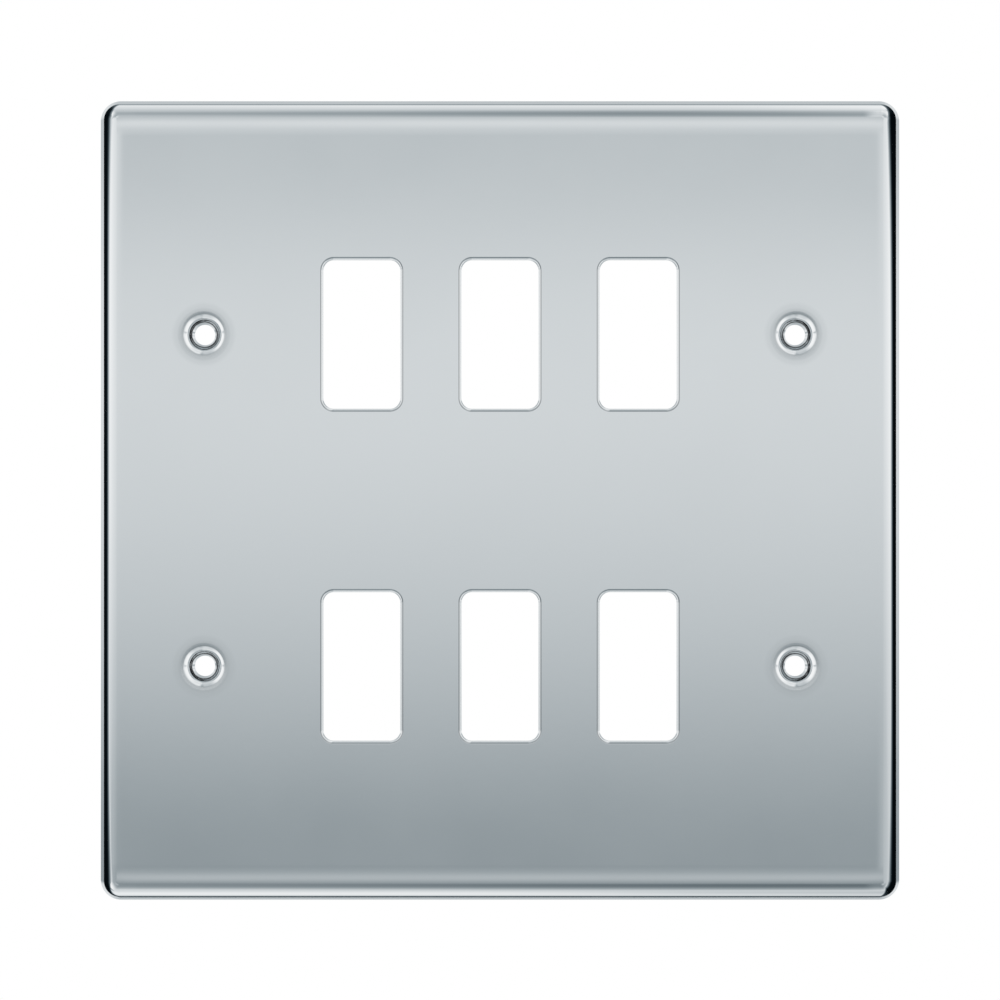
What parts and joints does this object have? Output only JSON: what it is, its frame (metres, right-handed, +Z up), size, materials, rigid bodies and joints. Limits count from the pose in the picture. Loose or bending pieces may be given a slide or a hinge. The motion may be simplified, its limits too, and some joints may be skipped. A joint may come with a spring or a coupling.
{
  "type": "grid switch plate",
  "caption": "Square pressed metal front plate with a rolled rim, rows of rounded rocker apertures and countersunk screw seats, for grid switch modules.",
  "frame": {"origin": "centre of the plate on the wall plane, where the rim's rear edge sits", "axes": "+Y into the wall, the front face looks along -Y, +X to the right seen from the front, +Z up"},
  "size_m": [0.146, 0.0065, 0.146],
  "materials": {
    "chrome_plate": "polished chrome plating on pressed steel"
  },
  "bodies": {
    "root": {"front_plate": "chrome_plate"}
  },
  "joints": []
}
